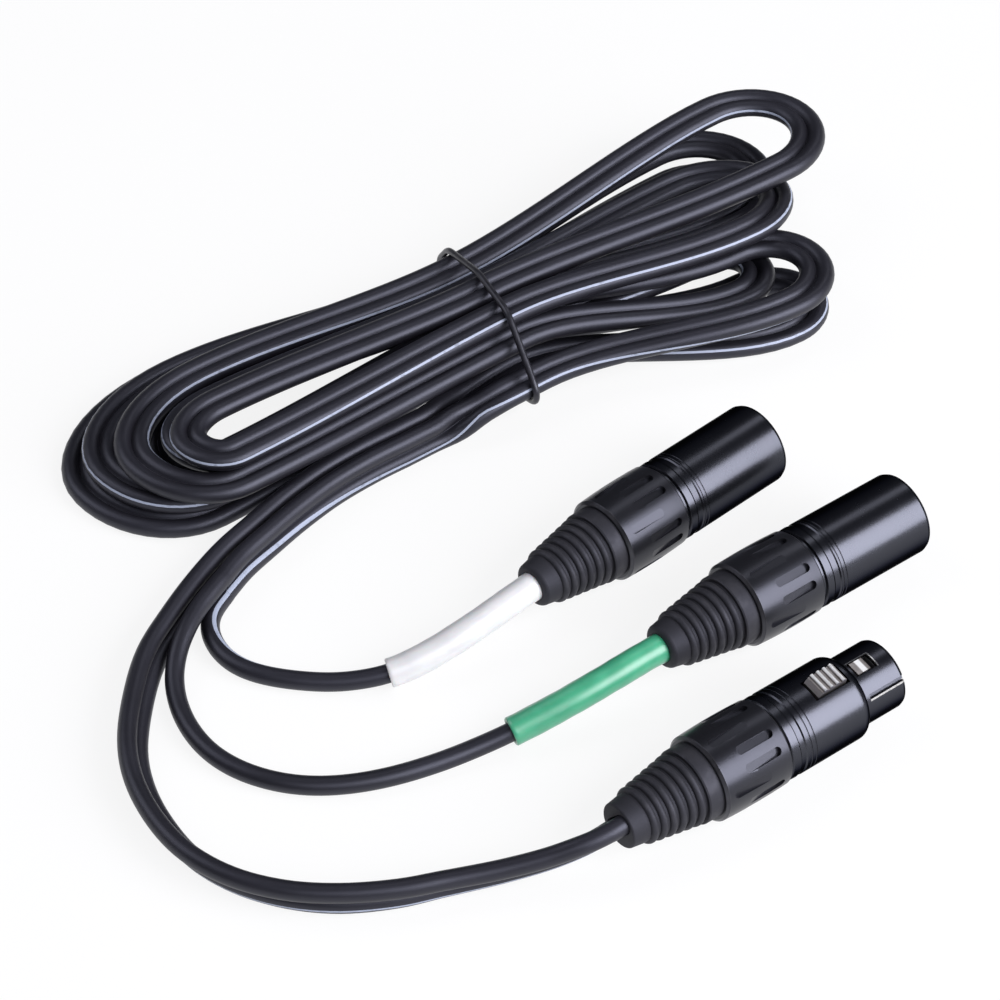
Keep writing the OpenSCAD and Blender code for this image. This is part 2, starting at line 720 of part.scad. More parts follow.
// pulled straight from corner to corner of the bundle: [row at the waist, side, angles round that core]
tie_turns = [
    [2, 1, [-90, -68, -45]], [5, 1, [-43, -17, 8, 34]], [8, 1, [36, 54, 72]], [9, 1, [73, 90]],
    [10, -1, [90, 108, 127]], [13, -1, [128, 158, 188, 218, 247]], [0, -1, [248, 270]]
];
tie_path = [
    for (c = tie_turns, a = c[2])
        let (
            core = pass(c[0]) + [0, c[1] * core_r, 0],
            p = core + (core_r + tie_gap + tie_d / 2) * [0, cos(a), sin(a)]
        )
        [waist_x + tie_slant * (p[1] - 41.4) / 52, p[1], p[2]]
];
module tie_ring() {
    n = 6;
    m = len(tie_path);
    centre = [waist_x, 41.4, 11];
    points = [for (i = [0 : m - 1])
        let (
            t = unit(unit(tie_path[(i + 1) % m] - tie_path[i]) + unit(tie_path[i] - tie_path[(i + m - 1) % m])),
            o = tie_path[i] - centre,
            out = unit(o - t * (o * t)),
            w = cross(t, out)
        )
        for (j = [0 : n - 1]) tie_path[i] + tie_d / 2 * (out * cos(60 * j) + w * sin(60 * j))];
    faces = [for (i = [0 : m - 1], j = [0 : n - 1])
        let (a = i * n + j, b = i * n + (j + 1) % n, c = (i + 1) % m * n)
        each [[a, c + j, b], [b, c + j, c + (j + 1) % n]]];
    polyhedron(points, faces);
}

// ---- nodes ----

black = [0.09, 0.09, 0.1];
rubber = [0.15, 0.15, 0.16];
plastic = [0.2, 0.2, 0.21];
silver = [0.75, 0.75, 0.77];
gold = [0.8, 0.65, 0.3];

module plug_1_shell() { color(black) at_plug_1() plug_shell(); }
module plug_1_insulator() { color(plastic) at_plug_1() plug_insulator(); }
module plug_1_contacts() { color(gold) at_plug_1() plug_contacts(); }
module plug_1_nut() { color(black) at_plug_1() nut_body(plug_1_phase); }
module plug_1_sleeve() { color("white") row() sleeve_on(sleeve_path(path_1, plug_1_at, plug_1_turn)); }
module plug_1_collet() {
    color(plastic)
        at_plug_1()
            difference() {
                collet_body();
                rod(core_r + 0.15, nut_s, shell_s + 3);
            }
}
module plug_1_boot() { color(rubber) at_plug_1() plug_boot(); }
module plug_2_shell() { color(black) at_plug_2() plug_shell(); }
module plug_2_insulator() { color(plastic) at_plug_2() plug_insulator(); }
module plug_2_contacts() { color(gold) at_plug_2() plug_contacts(); }
module plug_2_nut() { color(black) at_plug_2() nut_body(plug_2_phase); }
module plug_2_sleeve() { color([0.2, 0.65, 0.42]) row() sleeve_on(sleeve_path(path_2, plug_2_at, 0)); }
module plug_2_collet() {
    color(plastic)
        at_plug_2()
            difference() {
                collet_body();
                rod(core_r + 0.15, nut_s, shell_s + 3);
            }
}
module plug_2_boot() { color(rubber) at_plug_2() plug_boot(); }
module plug_boot() {
    difference() {
        boot_body(1.2);
        rod(core_r + 0.15, -1, boot_len + 4);
        rod(sleeve_d / 2 + 0.15, -1, tuck + 0.6);
    }
}

module socket_boot() {
    color(rubber)
        at_socket()
            difference() {
                boot_body(0.5);
                twin_bore(-1, boot_len + 4, 0.15);
            }
}
module socket_collet() {
    color(plastic)
        at_socket()
            difference() {
                collet_body();
                twin_bore(nut_s, shell_s + 3, 0.15);
            }
}
module socket_nut() { color(black) at_socket() nut_body(socket_phase); }
module socket_housing() { color(black) at_socket() socket_housing_body(); }
module socket_insulator() { color(plastic) at_socket() socket_insulator_body(); }
module socket_contacts() { color(gold) at_socket() socket_contacts_body(); }
module socket_latch() { color(silver) at_socket() socket_latch_body(); }
module socket_latch_spring() { color(silver) at_socket() socket_latch_spring_body(); }

module lead_socket() { color(black) row() sweep(socket_path, socket_rolls, twin_section); }
module tail_twin() { color(black) row() sweep(tail_path, rolls_of(tail_curve), twin_section); }
module lead_plug_1() { color(black) row() sweep(path_1, [for (q = path_1) 0], round_section); }
module lead_plug_2() { color(black) row() sweep(path_2, [for (q = path_2) 0], round_section); }
module hank() {
    echo(hank_rings = hank_rings, hank_least_gap = least_gap());
    color(black)
        row()
            sweep(hank_path, hank_rolls, twin_section);
}
module tie() { color(black) row() tie_ring(); }

plug_1_shell();
plug_1_insulator();
plug_1_contacts();
plug_1_collet();
plug_1_nut();
plug_1_boot();
plug_1_sleeve();
plug_2_shell();
plug_2_insulator();
plug_2_contacts();
plug_2_collet();
plug_2_nut();
plug_2_boot();
plug_2_sleeve();
socket_housing();
socket_insulator();
socket_contacts();
socket_latch();
socket_latch_spring();
socket_collet();
socket_nut();
socket_boot();
lead_socket();
hank();
tail_twin();
lead_plug_1();
lead_plug_2();
tie();
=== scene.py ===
import math

import bmesh
import bpy
from mathutils import Matrix, Vector


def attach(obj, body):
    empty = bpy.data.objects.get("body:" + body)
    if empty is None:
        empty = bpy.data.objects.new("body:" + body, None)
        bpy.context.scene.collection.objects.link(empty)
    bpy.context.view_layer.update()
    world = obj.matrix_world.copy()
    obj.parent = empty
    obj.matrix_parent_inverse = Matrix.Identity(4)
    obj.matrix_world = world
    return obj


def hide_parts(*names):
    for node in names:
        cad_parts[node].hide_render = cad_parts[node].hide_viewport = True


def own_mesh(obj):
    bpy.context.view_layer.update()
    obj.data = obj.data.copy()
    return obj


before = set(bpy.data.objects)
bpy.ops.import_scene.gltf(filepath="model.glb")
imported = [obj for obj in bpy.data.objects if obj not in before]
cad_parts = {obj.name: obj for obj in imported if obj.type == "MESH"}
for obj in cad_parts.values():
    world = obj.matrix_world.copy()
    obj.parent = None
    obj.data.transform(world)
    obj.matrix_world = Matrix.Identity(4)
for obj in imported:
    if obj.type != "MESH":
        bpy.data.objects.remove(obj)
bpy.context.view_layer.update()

# ---- View ----
# The cable lies on a white table. It is seen from its near left and from well above, by a camera with a
# long lens that stands 0.8 m away.
to_camera = Vector((-0.445, -0.580, 0.682)).normalized()
looked_at = Vector((-0.0063, 0.0134, 0.0))
camera_distance = 0.8
camera_data = bpy.data.cameras.new("long_lens")
camera_data.sensor_width = 36.0
camera_data.lens = 127.8
camera_data.clip_start = 0.01
camera = bpy.data.objects.new("long_lens", camera_data)
camera.location = looked_at + camera_distance * to_camera
camera.rotation_euler = to_camera.to_track_quat("Z", "Y").to_euler()
bpy.context.scene.collection.objects.link(camera)
bpy.context.scene.camera = camera
bpy.context.scene.view_settings.view_transform = "Standard"


# ---- Jacket ----
# Both cores have an extruded jacket of soft black PVC, satin, with a fine orange-peel skin.
# One core of the pair carries a thin pale stripe along its length, so that the two can be told apart.
class Wire:
    """A value inside a node tree. Sums, products and powers of wires add Math nodes."""

    def __init__(self, tree, socket):
        self.tree, self.socket = tree, socket

    def other(self, name):
        """Another output of the same node."""
        return Wire(self.tree, self.socket.node.outputs[name])

    def math(self, operation, *others):
        return self.tree.add("ShaderNodeMath", {"operation": operation}, [self, *others])

    def __add__(self, other):
        return self.math("ADD", other)

    __radd__ = __add__

    def __mul__(self, other):
        return self.math("MULTIPLY", other)

    __rmul__ = __mul__

    def __sub__(self, other):
        return self.math("SUBTRACT", other)

    def __rsub__(self, other):
        return self.tree.add("ShaderNodeMath", {"operation": "SUBTRACT"}, [other, self])

    def __pow__(self, other):
        return self.math("POWER", other)

    def band(self, low, high):
        """0 below low, 1 above high and smooth between, or the other way round if low is the larger."""
        ends = {"Value": self, "From Min": min(low, high), "From Max": max(low, high)}
        if low > high:
            ends |= {"To Min": 1.0, "To Max": 0.0}
        return self.tree.add("ShaderNodeMapRange", {"interpolation_type": "SMOOTHSTEP"}, ends)

    def strip(self, low, full_from, full_to, high):
        """1 from full_from to full_to, and easing to 0 at low and at high."""
        return self.band(low, full_from) * self.band(high, full_to)


class Nodes:
    """A node tree. The method add makes any node, from its type, its settings and its sockets' values."""

    def __init__(self, group):
        self.group = group

    def add(self, kind, settings=None, inputs=(), output=0):
        node = self.group.nodes.new(kind)
        for name, value in (settings or {}).items():
            setattr(node, name, value)
        for key, value in inputs.items() if isinstance(inputs, dict) else enumerate(inputs):
            self.join(value, node.inputs[key])
        return Wire(self, node.outputs[output])

    def join(self, value, socket):
        if isinstance(value, Wire):
            self.group.links.new(value.socket, socket)
        else:
            socket.default_value = value


class Finish(Nodes):
    """A material built round one Principled shader."""

    def __init__(self, name, **plain):
        self.material = bpy.data.materials.new(name)
        self.material.use_nodes = True
        super().__init__(self.material.node_tree)
        self.shader = self.group.nodes["Principled BSDF"]
        for socket, value in plain.items():
            self.shader.inputs[socket.replace("_", " ")].default_value = value

    def set(self, **wires):
        for socket, wire in wires.items():
            self.join(wire, self.shader.inputs[socket.replace("_", " ")])

    def place(self):
        return self.add("ShaderNodeTexCoord", output="Object")

    def noise(self, scale, detail, roughness=0.5):
        """Soft noise from 0 to 1, with scale blotches to the metre."""
        sizes = {"Vector": self.place(), "Scale": scale, "Detail": detail, "Roughness": roughness}
        return self.add("ShaderNodeTexNoise", inputs=sizes, output="Fac")

    def blend(self, mask, low, high):
        """The colour low where the mask is 0, and high where it is 1."""
        return self.add("ShaderNodeMix", {"data_type": "RGBA"}, {0: mask, 6: low, 7: high}, output=2)

    def bump(self, height, depth, strength):
        """Relief as deep as depth, in metres."""
        sizes = {"Strength": strength, "Distance": depth, "Height": height}
        self.set(Normal=self.add("ShaderNodeBump", inputs=sizes, output="Normal"))


def jacket_finish(name, striped):
    jacket = Finish(name, Specular_IOR_Level=0.62, Specular_Tint=(0.80, 0.82, 1.0, 1))
    blotches = jacket.noise(60.0, 3.0)
    skin = jacket.noise(2600.0, 2.0)
    colour = jacket.blend(blotches.band(0.3, 0.7), (0.006, 0.0055, 0.0075, 1), (0.010, 0.0095, 0.013, 1))
    if striped:
        way = jacket.add("ShaderNodeAttribute", {"attribute_name": "stripe_way"}, output="Vector")
        # its x is 1 on the stripe's side of the cable and -1 on the other, its y is 0 in the stripe's middle
        facing = jacket.add("ShaderNodeSeparateXYZ", inputs=[way], output="X")
        off_middle = facing.other("Y").math("ABSOLUTE")
        line = off_middle.band(0.26, 0.215) * facing.band(0.3, 0.6)
        wear = jacket.noise(420.0, 2.0).band(0.25, 0.42)
        colour = jacket.blend(line * (0.55 + 0.45 * wear), colour, (0.33, 0.365, 0.455, 1))
    jacket.set(Base_Color=colour, Roughness=0.38 + 0.10 * blotches + 0.05 * skin)
    jacket.bump(skin, 0.00002, 0.35)
    return jacket.material


# ---- Twin cable ----
# Two cores joined along a thin web run unbroken from the socket's boot, through seven folded loops, to
# the place where they are pulled apart. The cable is extruded in one length, and the hank folded by hand.
# Sizes are in millimetres, and the route's points are shifted so that the whole lies round the origin.
MM = 0.001
core_r = 2.1
web = 0.55
table_shift = Vector((-6.3, 13.4, 0.0))
layer_pitch = 4.75
# the tie holds the waist up, and its lift fades out over waist_reach to each side
waist_x, waist_lift, waist_reach = 28.0, 2.0, 72
# the pair runs straight for two steps inside each of the hank's two cable ends
hank_end_x, end_step = -10.0, 4.2

# the passes through the waist are (y, layer), and the bends at each end are
# (reach, y going in, y coming out, layer in, layer out)
waist = [
    (30.5, 0), (39.5, 0), (57.5, 0), (48.5, 0), (52, 1), (62, 1), (35, 1),
    (30, 2), (58.3, 2), (43.5, 3), (34, 3), (49.4, 2), (40.2, 2), (20.8, 0.85),
]
bends_far = [
    (101, 3, 22, 0, 0), (114, 64, 42, 0, 0), (119, 40, 70, 1, 1.25), (94, 31.5, 16, 1, 1),
    (128, 61.6, 34, 4, 4), (110, 24, 53.4, 3.2, 2.1), (102.5, 25.4, 2.2, 2, 2),
]
bends_near = [
    (-73, 33.6, 78.6, 0, 0), (-55, 46, 62, 0, 1), (-68.5, 74.2, 35, 1, 1),
    (-64, 30, 66, 2, 2), (-54, 50, 34, 3, 3), (-53, 56, 39, 2, 2),
]
# the stripe's angle round the pair at each pass and at each bend
stripe_waist = [165, 160, 160, 160, 160, 160, 160, 160, 171, 164, 155, 158, 166, 380]
stripe_far = [160, 160, 160, 160, 172, 160, 340]
stripe_near = [160, 160, 165, 160, 170, 165]

# the free stretches are (x, y, height above the table, roll), and the tail has the stripe's angle as well
lead_rows = [
    (-10, 27.4, 0, -80), (-19, 27.5, 0, -80), (-30, 26.8, 0, -82), (-41, 24.9, 0, -84),
    (-52, 21.9, 0, -84), (-62, 18.9, 0, -82), (-72, 14.5, 0, -78), (-82, 9, 0, -70),
    (-92, 2.6, 0, -64), (-101, -6.2, 0, -62), (-109, -16.4, 0, -60), (-113.8, -26.6, 0, -58),
    (-116.2, -38, 0, -58), (-116.2, -49, 0, -62), (-113, -59.6, 0, -66), (-107, -69, 0, -72),
    (-99, -76.6, 0, -78), (-89, -82.6, 0, -74), (-79, -86.6, 0, -67), (-69.5, -91, 0.8, -61),
    (-61, -95.2, 2.6, -57), (-54, -98.4, 5, -54), (-49, -99.5, 6.1, -52),
]
tail_rows = [
    (-10, 22.7, 0, -80, 405), (-19, 22.8, 0, -80, 406), (-30, 22, 0, -80, 410), (-41, 19.9, 0, -80, 416),
    (-51, 17.2, 0, -80, 420), (-60, 14.5, 0, -80, 424), (-68, 10.8, 0, -80, 427),
]
socket_tip = (-46.3, -99.5, 10.0)
lead_stripe = 228.0
# a larger number draws a thinner stripe: it widens in the tail, over so many rows from the waist on
stripe_thin, stripe_full = 1.85, 1.0
widen_from, widen_rows = 8, 26
# steps between two rows, in a loop's straight run, in its bend and where the pair twists
row_steps, run_steps, bend_steps, twist_steps = 6, 18, 24, 10


def mix(a, b, t):
    return a + (b - a) * t


def ease(t):
    return t * t * (3 - 2 * t)


def through(p, q, r, s, t):
    """A value on the smooth curve from q to r, with p before and s after them."""
    start = 2 * q + (r - p) * t
    return 0.5 * (start + (2 * p - 5 * q + 4 * r - s) * t**2 + (3 * q - p - 3 * r + s) * t**3)


def smooth_rows(rows, steps):
    """A smooth curve through the rows, with the same number of steps between each two."""
    found = []
    for i in range(len(rows) - 1):
        a, b, c, d = rows[max(i - 1, 0)], rows[i], rows[i + 1], rows[min(i + 2, len(rows) - 1)]
        for k in range(steps):
            found.append(tuple(through(*four, k / steps) for four in zip(a, b, c, d)))
    return found + [tuple(rows[-1])]


def twin_rest(roll):
    """Height of the pair's middle when its lower core rests on the table."""
    return core_r * (1 + abs(math.sin(math.radians(roll))))


def at_layer(x, y, layer, stripe):
    lift = waist_lift * ease(max(0.0, 1 - abs(x - waist_x) / waist_reach))
    return (x, y, core_r + layer * layer_pitch + lift, 0.0, stripe)


def half_loop(i, way):
    """From pass i, round its bend and up to the next pass."""
    (y_a, layer_a), (y_c, layer_c) = waist[i], waist[i + 1]
    reach, y_in, y_out, layer_in, layer_out = (bends_far if way > 0 else bends_near)[i // 2]
    stripe_a, stripe_c = stripe_waist[i], stripe_waist[i + 1]
    stripe_b = (stripe_far if way > 0 else stripe_near)[i // 2]
    middle, half = (y_in + y_out) / 2, (y_in - y_out) / 2
    # how deep each half of the bend is, for its width: 1 is a round bend
    fullness = [1.15 if way > 0 else 1.5 if y > middle else 0.85 for y in (y_in, y_out)]
    depth_in, depth_out = (abs(half) * f for f in fullness)
    x_in, x_out = reach - way * depth_in, reach - way * depth_out
    rows = []
    for k in range(run_steps):
        e = ease(k / run_steps)
        x = mix(waist_x, x_in, k / run_steps)
        rows.append(at_layer(x, mix(y_a, y_in, e), mix(layer_a, layer_in, e), mix(stripe_a, stripe_b, e)))
    for k in range(bend_steps + 1):
        angle = math.radians(180 / bend_steps * k)
        depth = depth_in if k < bend_steps / 2 else depth_out
        x = reach - way * depth * (1 - math.sin(angle))
        layer = mix(layer_in, layer_out, ease(k / bend_steps))
        rows.append(at_layer(x, middle + half * math.cos(angle), layer, stripe_b))
    for k in range(run_steps - 1, 0, -1):
        e = ease(k / run_steps)
        x = mix(waist_x, x_out, k / run_steps)
        rows.append(at_layer(x, mix(y_c, y_out, e), mix(layer_c, layer_out, e), mix(stripe_c, stripe_b, e)))
    return rows


def twist_in(a, b, roll_a, roll_b, roll_steps):
    """Between a rolled stretch and the flat hank: an easy change of place, and a quicker one of roll."""
    rows = []
    for k in range(1, twist_steps):
        t = k / twist_steps
        roll = mix(roll_a, roll_b, ease(min(1.0, t * twist_steps / roll_steps)))
        y, z, stripe = (mix(a[j], b[j], ease(t)) for j in (1, 2, 4))
        rows.append((mix(a[0], b[0], t), y, z, roll, stripe))
    return rows


boot_run = []
for inside in (22, 14, 7, 0):
    boot_run.append((socket_tip[0] + inside, *socket_tip[1:], -lead_rows[-1][3], lead_stripe))
lead = []
for x, y, h, roll in reversed(smooth_rows(lead_rows, row_steps)):
    lead.append((x, y, max(0.0, h) + twin_rest(roll), -roll, lead_stripe))
tail = []
for x, y, h, roll, stripe in smooth_rows(tail_rows, row_steps):
    tail.append((x, y, max(0.0, h) + twin_rest(roll), roll, stripe))

into = (hank_end_x + 2 * end_step, *lead[-1][1:])
out_of = (hank_end_x + 2 * end_step, *tail[0][1:])
first = at_layer(waist_x, *waist[0], stripe_waist[0])
last = at_layer(waist_x, *waist[-1], stripe_waist[-1])
# the last pass stays flat until it is clear of the tie
held = at_layer(waist_x - 8, *waist[-1], stripe_waist[-1])
twin_rows = boot_run + lead + [(hank_end_x + end_step, *into[1:]), into] + twist_in(into, first, 80, 0, 5)
for i in range(len(waist) - 1):
    twin_rows += half_loop(i, 1 if i % 2 == 0 else -1)
held_at = len(twin_rows)
twin_rows += [last, held, *reversed(twist_in(out_of, held, -80, 0, 6)), out_of]
twin_rows += [(hank_end_x + end_step, *out_of[1:]), *tail]
thin = [stripe_thin] * held_at
for k in range(len(twin_rows) - held_at):
    t = min(1.0, max(0.0, (k - widen_from) / widen_rows))
    thin.append(mix(stripe_thin, stripe_full, ease(t)))


def path_mesh(name, rows, thin):
    """The cable's middle line as a chain of edges. It also carries the pair's side, a vector from one core
    to the other, and the stripe's angle and width."""
    points = [(Vector(row[:3]) + table_shift) * MM for row in rows]
    chain = bpy.data.meshes.new(name)
    chain.from_pydata(points, [(i, i + 1) for i in range(len(points) - 1)], [])
    chain.attributes.new("side", "FLOAT_VECTOR", "POINT")
    chain.attributes.new("stripe", "FLOAT", "POINT")
    chain.attributes.new("thin", "FLOAT", "POINT").data.foreach_set("value", thin)
    side, stripe = chain.attributes["side"], chain.attributes["stripe"]
    for i, row in enumerate(rows):
        along = (points[min(i + 1, len(points) - 1)] - points[max(i - 1, 0)]).normalized()
        level = Vector((-along.y, along.x, 0)).normalized()
        roll = math.radians(row[3])
        side.data[i].vector = level * math.cos(roll) + along.cross(level) * math.sin(roll)
        stripe.data[i].value = math.radians(row[4])
    return chain, points


class Tree(Nodes):
    """A Geometry Nodes tree with named inputs."""

    def __init__(self, name):
        super().__init__(bpy.data.node_groups.new(name, "GeometryNodeTree"))
        self.group.interface.new_socket("Geometry", in_out="INPUT", socket_type="NodeSocketGeometry")
        self.group.interface.new_socket("Geometry", in_out="OUTPUT", socket_type="NodeSocketGeometry")
        self.inlet = self.group.nodes.new("NodeGroupInput")
        self.outlet = self.group.nodes.new("NodeGroupOutput")

    def size(self, name, kind="Float"):
        """A named input of the tree."""
        self.group.interface.new_socket(name, in_out="INPUT", socket_type="NodeSocket" + kind)
        return Wire(self, self.inlet.outputs[name])

    def attribute(self, name, kind="FLOAT"):
        return self.add("GeometryNodeInputNamedAttribute", {"data_type": kind}, {"Name": name})

    def store(self, geometry, name, value, kind="FLOAT"):
        """The geometry with a named attribute on its points."""
        where = {"data_type": kind, "domain": "POINT"}
        inputs = {"Geometry": geometry, "Name": name, "Value": value}
        return self.add("GeometryNodeStoreNamedAttribute", where, inputs)

    def choose(self, switch, no, yes):
        inputs = {"Switch": switch, "False": no, "True": yes}
        return self.add("GeometryNodeSwitch", {"input_type": "FLOAT"}, inputs)

    def finish(self, geometry, material):
        real = self.add("GeometryNodeRealizeInstances", inputs=[geometry])
        painted = self.add("GeometryNodeSetMaterial", inputs={"Geometry": real, "Material": material})
        self.join(painted, self.outlet.inputs[0])

    def make(self, name, base, **sizes):
        """Runs the tree on the base mesh with the sizes given, and returns the result as a plain mesh."""
        holder = bpy.data.objects.new(name, base)
        bpy.context.scene.collection.objects.link(holder)
        modifier = holder.modifiers.new("make", "NODES")
        modifier.node_group = self.group
        for item in self.group.interface.items_tree:
            if item.in_out == "INPUT" and item.name.replace(" ", "_") in sizes:
                modifier[item.identifier] = sizes[item.name.replace(" ", "_")]
        graph = bpy.context.evaluated_depsgraph_get()
        made = bpy.data.meshes.new_from_object(
            holder.evaluated_get(graph), preserve_all_data_layers=True, depsgraph=graph
        )
        holder.modifiers.clear()
        holder.data = made
        made.name = name
        return holder


def extruder():
    """Draws the section of one core or of a joined pair along a path, and marks where the stripe runs."""
    tree = Tree("cable_extruder")
    radius, half_web, sides = tree.size("Core radius"), tree.size("Half web"), tree.size("Sides", "Int")
    pair, jacket = tree.size("Pair", "Bool"), tree.size("Jacket", "Material")
    # the section: a circle, or two circles side by side whose waist is filled by the web
    circle = {"Resolution": sides, "Radius": 1.0}
    ring = tree.add("GeometryNodeCurvePrimitiveCircle", {"mode": "RADIUS"}, circle)
    place = tree.add("GeometryNodeInputPosition")
    x = tree.add("ShaderNodeSeparateXYZ", inputs=[place], output="X")
    ring = tree.store(ring, "around", x.other("Y").math("ARCTAN2", x))
    lobes = (x.math("ABSOLUTE") * (radius * 2.0)).math("MAXIMUM", half_web)
    reach = tree.choose(pair, radius, lobes)
    outline = tree.add("ShaderNodeVectorMath", {"operation": "SCALE"}, {0: place, "Scale": reach})
    section = tree.add("GeometryNodeSetPosition", inputs={"Geometry": ring, "Position": outline})
    # the path, with the section's x axis along the pair's side
    path = tree.add("GeometryNodeMeshToCurve", inputs=[Wire(tree, tree.inlet.outputs["Geometry"])])
    side = tree.attribute("side", "FLOAT_VECTOR")
    path = tree.add("GeometryNodeSetCurveNormal", {"mode": "FREE"}, {"Curve": path, "Normal": side})
    ends = {"Curve": path, "Profile Curve": section, "Fill Caps": True}
    tube = tree.add("GeometryNodeCurveToMesh", inputs=ends)
    # round one core of the pair the angle runs twice as fast as it does round the pair's middle
    off = tree.attribute("around") - tree.attribute("stripe")
    across = (off * tree.choose(pair, 1.0, 2.0)).math("SINE") * tree.attribute("thin")
    way = tree.add("ShaderNodeCombineXYZ", inputs=[off.math("COSINE"), across, 0.0])
    tube = tree.store(tube, "stripe_way", way, "FLOAT_VECTOR")
    tree.finish(tree.add("GeometryNodeSetShadeSmooth", inputs=[tube]), jacket)
    return tree


cable_extruder = extruder()
striped_jacket = jacket_finish("jacket_striped", True)
chain, twin_line = path_mesh("twin_cable", twin_rows, thin)
twin_cable = cable_extruder.make(
    "twin_cable",
    chain,
    Core_radius=core_r * MM,
    Half_web=web * MM,
    Sides=44,
    Pair=True,
    Jacket=striped_jacket,
)
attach(twin_cable, "cable")
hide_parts("lead_socket", "hank", "tail_twin")
twin_length = sum((b - a).length for a, b in zip(twin_line, twin_line[1:]))


# ---- Single leads ----
# Where the web is torn, each core goes on alone, in the same jacket, to its own plug.
# The pale stripe is on the core of plug 1, and turns as that lead lies down into its bend.

# rows are (x, y, height above the table, the stripe's angle)
lead_1_rows = [
    (-74, 6.6, 0, 62), (-77, 2, 0, 60), (-78.2, -4.6, 0, 51), (-76.6, -11.4, 0, 45), (-72, -18, 0, 38),
    (-65.4, -24.4, 0, 35), (-59.4, -28.6, 0.5, 35), (-53.4, -31.8, 1.5, 35), (-46, -34, 3.4, 35),
    (-37, -35.4, 6, 35), (-28, -35.4, 7.5, 35), (-22, -34.8, 7.9, 35),
]
lead_2_rows = [
    (-76, 7.6, 4, 0), (-81.3, 4.2, 3.8, 0), (-86, 0.8, 2.6, 0), (-90.2, -3.6, 0.9, 0), (-93.4, -9.4, 0, 0),
    (-95.8, -17, 0, 0), (-96.4, -26, 0, 0), (-94, -35, 0, 0), (-88.6, -43.4, 0, 0), (-81, -49.8, 0, 0),
    (-71, -54.6, 0, 0), (-60, -57.6, 0, 0), (-51, -59.4, 0.5, 0), (-44, -61, 1.6, 0), (-36, -63, 3.8, 0),
    (-28, -64.8, 6.2, 0), (-19, -65.6, 7.6, 0), (-13, -65.6, 7.9, 0),
]
# each plug's boot tip and turn, and which of the pair's cores it takes
plugs = {
    "plug_1": {"tip": (-17.8, -34.4, 10.0), "turn": 4.8, "core": 1, "rows": lead_1_rows, "stripe": 54},
    "plug_2": {"tip": (-7.7, -65.6, 10.0), "turn": 0.0, "core": -1, "rows": lead_2_rows, "stripe": 0},
}
# the tear opens the cores by twice torn_apart, and they run on beside each other for torn_ahead
torn_back, torn_apart, torn_ahead = 1.5, 0.15, 2.4
split_end = Vector(tail[-1][:3])
split_along = (split_end - Vector(tail[-2][:3])).normalized()
split_level = Vector((-split_along.y, split_along.x, 0)).normalized()
split_roll = math.radians(tail[-1][3])
split_side = split_level * math.cos(split_roll) + split_along.cross(split_level) * math.sin(split_roll)
plain_jacket = jacket_finish("jacket_plain", False)


def evened(before, here, after):
    """A row drawn towards its two neighbours."""
    return tuple(0.25 * p + 0.5 * q + 0.25 * r for p, q, r in zip(before, here, after))


for name, plug in plugs.items():
    ahead = Vector((math.cos(math.radians(plug["turn"])), math.sin(math.radians(plug["turn"])), 0))
    plug["ahead"] = ahead
    tip = Vector(plug["tip"])
    start = split_end + plug["core"] * (core_r + torn_apart) * split_side
    in_web = split_end + plug["core"] * core_r * split_side - torn_back * split_along
    rows = [(*(start + torn_ahead * split_along), plug["stripe"])]
    rows += [(x, y, h + core_r, turn) for x, y, h, turn in plug["rows"]]
    end_stripe = rows[-1][3]
    rows.append((*tip, end_stripe))
    route = [(*in_web, plug["stripe"]), (*start, plug["stripe"])]
    route += [(x, y, max(core_r, z), turn) for x, y, z, turn in smooth_rows(rows, 7)]
    route += [(*(tip + inside * ahead), end_stripe) for inside in (5, 10, 16, 22)]
    # the bend sets in softly where the cores part, and both ends stay as they are
    for _ in range(12):
        route[2:-5] = [evened(*route[i - 1 : i + 2]) for i in range(2, len(route) - 5)]
    level_rows = [(x, y, z, 0.0, turn) for x, y, z, turn in route]
    chain, line = path_mesh("lead_" + name, level_rows, [stripe_full] * len(route))
    plug["line"] = line
    lead = cable_extruder.make(
        "lead_of_" + name,
        chain,
        Core_radius=core_r * MM,
        Half_web=web * MM,
        Sides=32,
        Pair=False,
        Jacket=striped_jacket if plug["core"] > 0 else plain_jacket,
    )
    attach(lead, "cable")
    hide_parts("lead_" + name)
    plug["lead"] = lead


